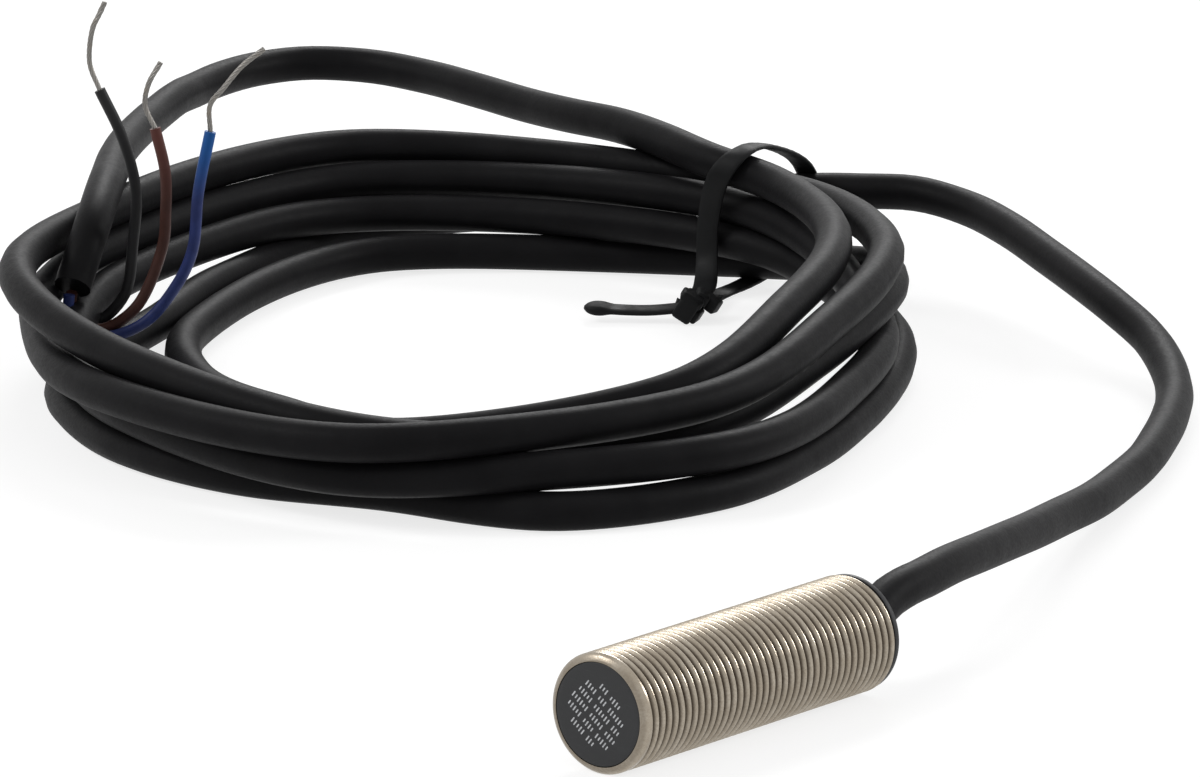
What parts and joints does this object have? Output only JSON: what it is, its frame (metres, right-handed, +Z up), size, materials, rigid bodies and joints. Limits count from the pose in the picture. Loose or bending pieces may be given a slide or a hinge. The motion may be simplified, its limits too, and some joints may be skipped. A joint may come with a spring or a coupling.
{
  "type": "inductive proximity sensor",
  "caption": "Threaded tubular inductive proximity sensor with a flush black sensing face and a long lead wound into a tied coil that ends in stripped wires.",
  "frame": {"origin": "under the middle of the housing, on the surface it lies on", "axes": "+Y along the housing from the sensing face to the cable end, +Z up from the surface, +X to the right seen from the sensing face side"},
  "size_m": [0.2065, 0.1936, 0.0416],
  "materials": {
    "nickel": "nickel-plated, satin",
    "black_cap": "matte black moulding",
    "ferrite": "sintered ferrite",
    "former": "natural nylon",
    "copper": "enamelled copper wire",
    "carrier": "moulded plastic",
    "board": "green solder mask on glass laminate",
    "chip_black": "moulded package with tinned legs",
    "diode": "glass diode bodies with metal ends",
    "capacitor": "ceramic with tinned ends",
    "resistor": "thick film with tinned ends",
    "solder": "soft solder",
    "resin": "potting resin",
    "seal": "moulded rubber",
    "crimp": "crimped brass ring",
    "jacket": "soft black jacket, semi-matte",
    "brown_insulation": "brown insulation",
    "blue_insulation": "blue insulation",
    "black_insulation": "black insulation",
    "tinned": "twisted tinned strands",
    "tie": "black moulded strap"
  },
  "bodies": {
    "root": {"threaded_barrel": "nickel", "front_cap": "black_cap", "ferrite_core": "ferrite", "coil_former": "former", "coil_winding": "copper", "coil_leads": "copper", "board_carrier": "carrier", "circuit_board": "board", "controller_chip": "chip_black", "output_transistor": "chip_black", "clamp_diodes": "diode", "capacitors": "capacitor", "resistors": "resistor", "solder_joints": "solder", "potting_resin": "resin", "rear_cap": "black_cap", "cable_seal": "seal", "clamp_ring": "crimp", "cable_root": "jacket", "brown_conductor": "brown_insulation", "blue_conductor": "blue_insulation", "black_conductor": "black_insulation", "lead_cable": "jacket", "cable_coil": "jacket", "cable_tail": "jacket", "brown_wire": "brown_insulation", "blue_wire": "blue_insulation", "black_wire": "black_insulation", "brown_strands": "tinned", "blue_strands": "tinned", "black_strands": "tinned", "cable_tie": "tie"}
  },
  "joints": []
}
